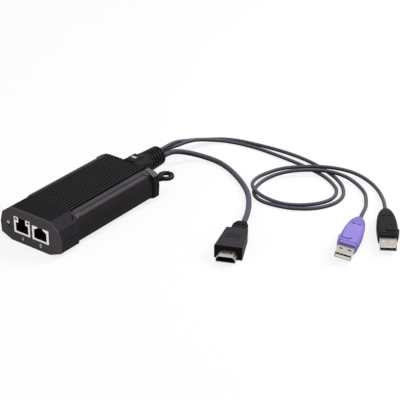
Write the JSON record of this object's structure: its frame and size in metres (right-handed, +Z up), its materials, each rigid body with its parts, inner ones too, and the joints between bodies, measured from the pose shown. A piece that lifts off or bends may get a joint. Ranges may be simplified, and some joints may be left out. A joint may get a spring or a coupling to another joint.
{
  "type": "kvm extender",
  "caption": "Ribbed black plastic box with two network sockets at one end and a cable boot at the other, with attached video and USB cables ending in plugs.",
  "frame": {"origin": "centre of the housing's flat underside, midway between its front and rear faces", "axes": "+Y towards the cable boot, +Z up, +X to the right as seen from the sockets"},
  "size_m": [0.2419, 0.235, 0.0271],
  "materials": {
    "housing_plastic": "matte, fine moulded grain",
    "panel_plastic": "matte, fine moulded grain",
    "boot_plastic": "smooth satin",
    "lens_white": "translucent white window",
    "lamp_plastic": "dark tinted light pipe",
    "socket_metal": "bright tin plate",
    "socket_plastic": "matte black",
    "contact_gold": "gold plate",
    "switch_metal": "plain sheet",
    "switch_plastic": "matte black",
    "board_laminate": "green solder mask",
    "chip_plastic": "matte dark grey",
    "can_metal": "bare can",
    "header_plastic": "natural white",
    "screw_steel": "dark zinc plate",
    "cable_jacket": "soft satin, cool dark grey",
    "plug_black": "satin black",
    "plug_purple": "satin violet",
    "plug_metal": "nickel plate",
    "tongue_white": "cream white"
  },
  "bodies": {
    "housing": {"upper_shell": "housing_plastic", "lower_shell": "housing_plastic", "rear_cap": "housing_plastic", "front_panel": "panel_plastic", "cable_boot": "boot_plastic", "status_lens": "lens_white", "lan_link_led": "lamp_plastic", "lan_activity_led": "lamp_plastic", "lan_jack_shield": "socket_metal", "console_jack_shield": "socket_metal", "lan_jack_insert": "socket_plastic", "console_jack_insert": "socket_plastic", "hdmi_insert": "socket_plastic", "lan_jack_contacts": "contact_gold", "console_jack_contacts": "contact_gold", "hdmi_contacts": "contact_gold", "usb_purple_contacts": "contact_gold", "usb_black_contacts": "contact_gold", "reset_switch_cover": "switch_metal", "reset_switch_body": "switch_plastic", "main_board": "board_laminate", "processor_chip": "chip_plastic", "video_chip": "chip_plastic", "flash_chip": "chip_plastic", "lan_transformer": "chip_plastic", "memory_chips": "chip_plastic", "power_inductor": "chip_plastic", "clock_crystal": "can_metal", "bulk_capacitors": "can_metal", "video_header": "header_plastic", "usb_header": "header_plastic", "case_screws": "screw_steel", "inner_leads": "cable_jacket", "hdmi_cable": "cable_jacket", "usb_purple_cable": "cable_jacket", "usb_black_cable": "cable_jacket", "hdmi_overmould": "plug_black", "usb_black_overmould": "plug_black", "usb_purple_overmould": "plug_purple", "hdmi_shell": "plug_metal", "usb_purple_shell": "plug_metal", "usb_black_shell": "plug_metal", "usb_purple_insert": "tongue_white", "usb_black_insert": "tongue_white"},
    "reset_button": {"reset_plunger": "switch_plastic"}
  },
  "joints": [
    {"name": "reset_press", "type": "slide", "parent": "housing", "child": "reset_button", "axis": [0, 1, 0], "range_m": [0, 0.0003], "stiffness_N_per_m": 5000}
  ]
}
